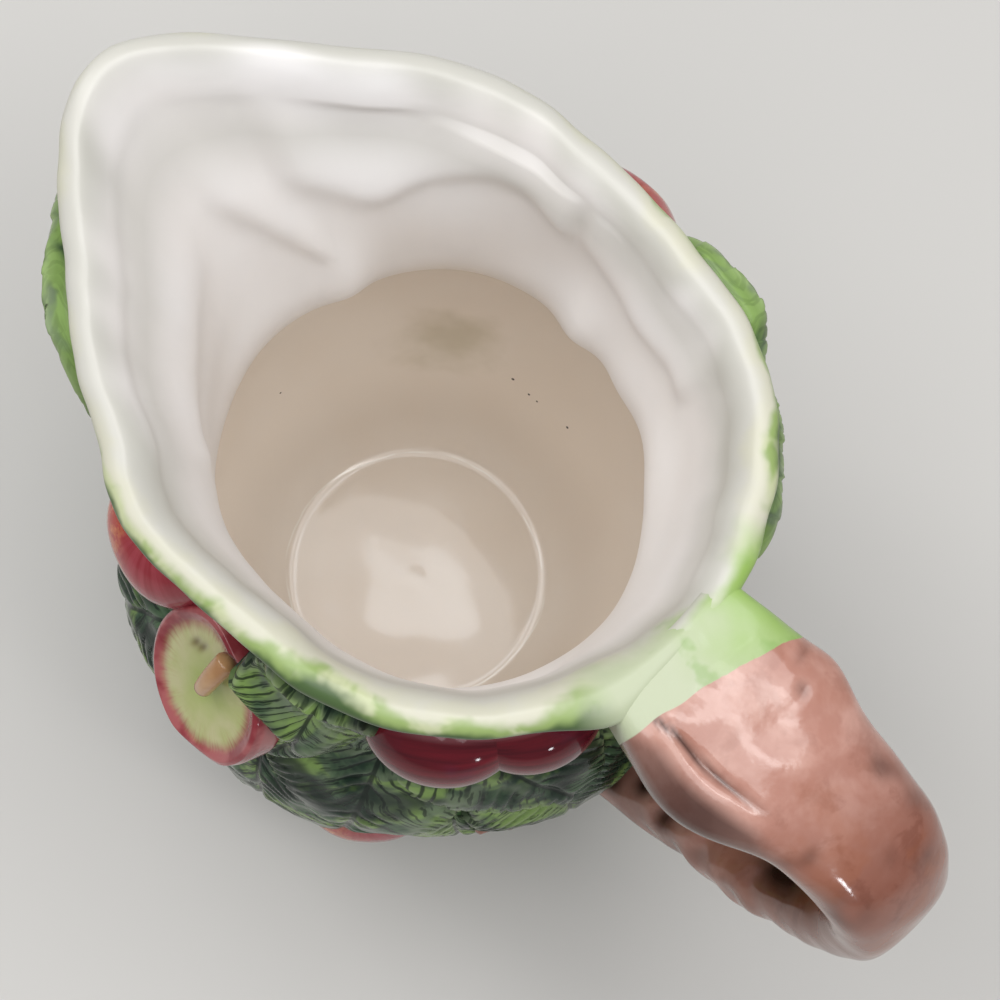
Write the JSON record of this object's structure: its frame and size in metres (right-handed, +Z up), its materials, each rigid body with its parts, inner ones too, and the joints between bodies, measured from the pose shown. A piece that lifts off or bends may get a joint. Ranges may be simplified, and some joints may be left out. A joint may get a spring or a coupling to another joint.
{
  "type": "majolica pitcher",
  "caption": "Glazed earthenware pitcher with a pointed spout, round belly, flat foot and branch handle, covered outside with apples, plums, leaves and twigs in relief.",
  "frame": {"origin": "middle of the flat foot, on the surface the pitcher stands on", "axes": "+Z up, +X towards the handle, -X towards the spout"},
  "size_m": [0.2147, 0.139, 0.2015],
  "materials": {
    "wall_glaze": "clear gloss over white, pooled to tan inside the bowl, green brushed on the lip",
    "bark_glaze": "pinkish brown gloss with darker mottling",
    "apple_glaze": "red gloss with orange streaks",
    "flesh_glaze": "pale yellow green gloss with a red skin border",
    "plum_glaze": "dark red gloss",
    "leaf_glaze": "green gloss pooled dark in the veins"
  },
  "bodies": {
    "root": {"body": "wall_glaze", "handle": "bark_glaze", "half_apple_front": "flesh_glaze", "half_apple_back": "flesh_glaze", "apple_left": "apple_glaze", "apple_back": "apple_glaze", "apple_low_front": "apple_glaze", "apple_low_spout": "apple_glaze", "apple_low_back": "apple_glaze", "apple_low_turn": "apple_glaze", "plum_front_left": "plum_glaze", "plum_front_right": "plum_glaze", "plum_back_left": "plum_glaze", "plum_back_right": "plum_glaze", "plum_low_left": "plum_glaze", "plum_low_right": "plum_glaze", "twig_front": "bark_glaze", "twig_back": "bark_glaze", "leaf_front_rim": "leaf_glaze", "leaf_front_left": "leaf_glaze", "leaf_front_sweep": "leaf_glaze", "leaf_front_handle": "leaf_glaze", "leaf_front_middle": "leaf_glaze", "leaf_between": "leaf_glaze", "leaf_spout_front": "leaf_glaze", "leaf_spout_back": "leaf_glaze", "leaf_under_spout": "leaf_glaze", "leaf_spout_low": "leaf_glaze", "leaf_spout_turn": "leaf_glaze", "leaf_back_rim": "leaf_glaze", "leaf_back_handle": "leaf_glaze", "leaf_back_middle": "leaf_glaze", "leaf_back_fall": "leaf_glaze", "leaf_back_turn": "leaf_glaze", "leaf_low_handle": "leaf_glaze", "leaf_low_front": "leaf_glaze", "leaf_low_sweep": "leaf_glaze", "leaf_low_left": "leaf_glaze", "leaf_low_plums": "leaf_glaze", "leaf_low_spout": "leaf_glaze", "leaf_low_turn": "leaf_glaze", "leaf_low_back": "leaf_glaze", "leaf_low_foot": "leaf_glaze", "leaf_handle_back": "leaf_glaze", "half_apple_front_stalk": "bark_glaze", "half_apple_back_stalk": "bark_glaze"}
  },
  "joints": []
}
